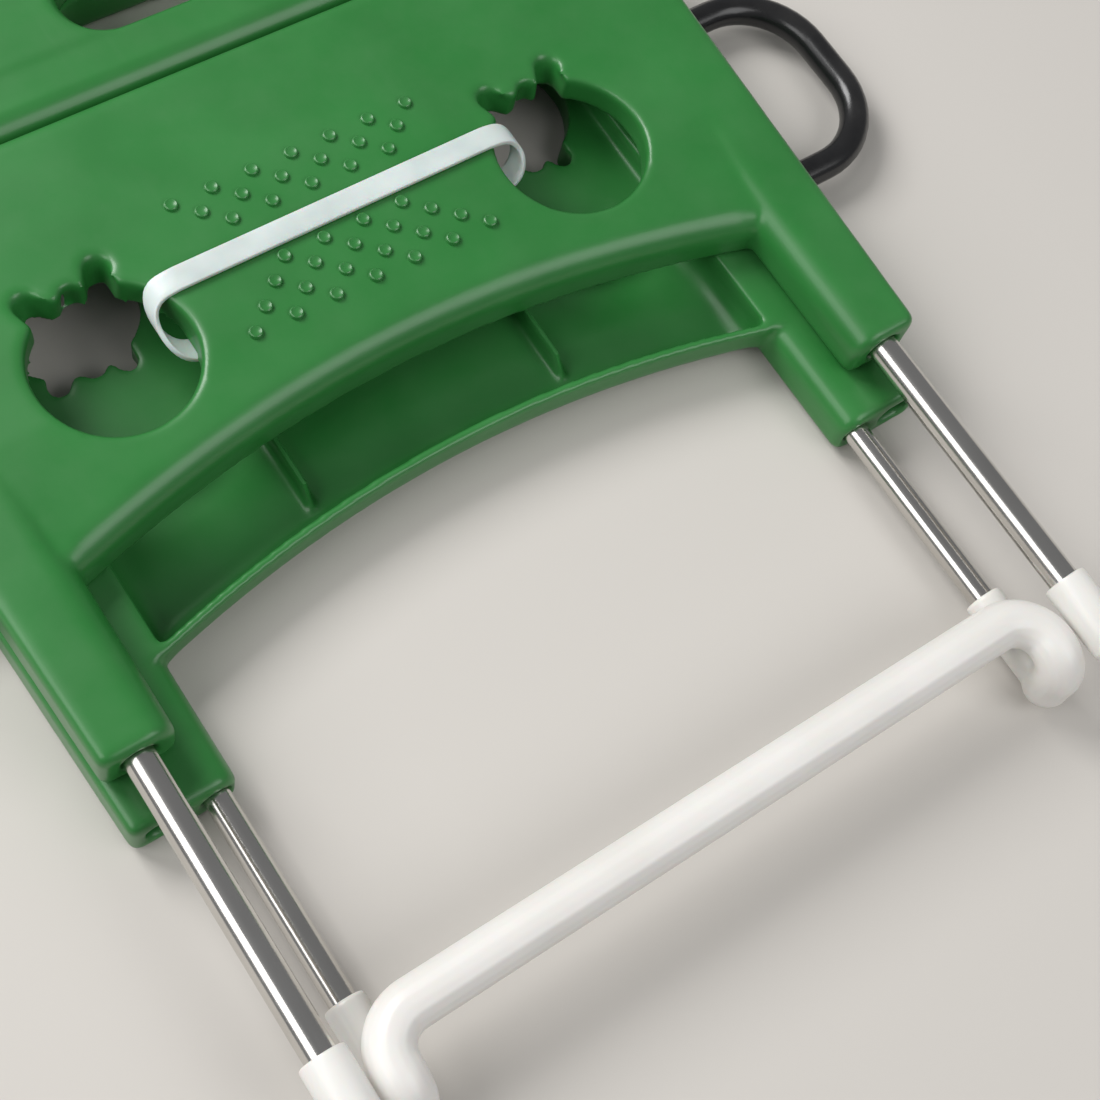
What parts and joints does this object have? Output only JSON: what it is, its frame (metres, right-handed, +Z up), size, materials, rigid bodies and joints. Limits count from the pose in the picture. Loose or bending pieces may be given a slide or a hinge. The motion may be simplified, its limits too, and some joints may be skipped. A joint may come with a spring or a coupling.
{
  "type": "folding step stool",
  "caption": "Centre-folding step stool stored flat: moulded leg panels and seat halves, steel tube legs, white foot bar, strap and side loops.",
  "frame": {"origin": "middle of the folded stool, on the plane that it lies on", "axes": "+Z up through the folded layers, +Y from the feet to the seat, +X to the right seen from the feet"},
  "size_m": [0.3952, 0.4111, 0.0385],
  "materials": {
    "green_moulding": "glossy green polypropylene moulding",
    "white_moulding": "satin white moulding",
    "black_moulding": "glossy black moulding",
    "strap_nylon": "translucent white nylon band",
    "tube_steel": "polished stainless tube",
    "rod_steel": "plain drawn steel",
    "screw_steel": "zinc plated steel"
  },
  "bodies": {
    "lower_leg_frame": {"leg_panel_lower": "green_moulding", "leg_tube_lower_left": "tube_steel", "leg_tube_lower_right": "tube_steel", "tube_screw_lower_left": "screw_steel", "tube_screw_lower_right": "screw_steel", "foot_bar": "white_moulding", "side_loop_left": "black_moulding", "side_loop_right": "black_moulding", "loop_screw_left_front": "screw_steel", "loop_screw_left_rear": "screw_steel", "loop_screw_right_front": "screw_steel", "loop_screw_right_rear": "screw_steel", "leg_hinge_rod_lower": "rod_steel", "leg_hinge_cap_lower_left": "black_moulding", "leg_hinge_cap_lower_right": "black_moulding"},
    "lower_seat_half": {"seat_half_lower": "green_moulding", "centre_hinge_rod": "rod_steel", "centre_hinge_cap_left": "black_moulding", "centre_hinge_cap_right": "black_moulding"},
    "upper_seat_half": {"seat_half_upper": "green_moulding"},
    "upper_leg_frame": {"leg_panel_upper": "green_moulding", "leg_tube_upper_left": "tube_steel", "leg_tube_upper_right": "tube_steel", "tube_screw_upper_left": "screw_steel", "tube_screw_upper_right": "screw_steel", "foot_cap_upper_left": "white_moulding", "foot_cap_upper_right": "white_moulding", "carry_strap": "strap_nylon", "leg_hinge_rod_upper": "rod_steel", "leg_hinge_cap_upper_left": "black_moulding", "leg_hinge_cap_upper_right": "black_moulding"}
  },
  "joints": [
    {"name": "lower_leg_hinge", "type": "hinge", "parent": "lower_leg_frame", "child": "lower_seat_half", "pos_m": [0, 0.103, 0.009], "axis": [1, 0, 0], "range_deg": [0, 80]},
    {"name": "centre_hinge", "type": "hinge", "parent": "lower_seat_half", "child": "upper_seat_half", "pos_m": [0, 0.2005, 0.0183], "axis": [-1, 0, 0], "range_deg": [0, 180]},
    {"name": "upper_leg_hinge", "type": "hinge", "parent": "upper_seat_half", "child": "upper_leg_frame", "pos_m": [0, 0.103, 0.0276], "axis": [1, 0, 0], "range_deg": [0, 80]}
  ],
  "couplings": [
    {"joint": "lower_leg_hinge", "follows": "centre_hinge", "ratio": 0.4444},
    {"joint": "upper_leg_hinge", "follows": "centre_hinge", "ratio": 0.4444}
  ]
}
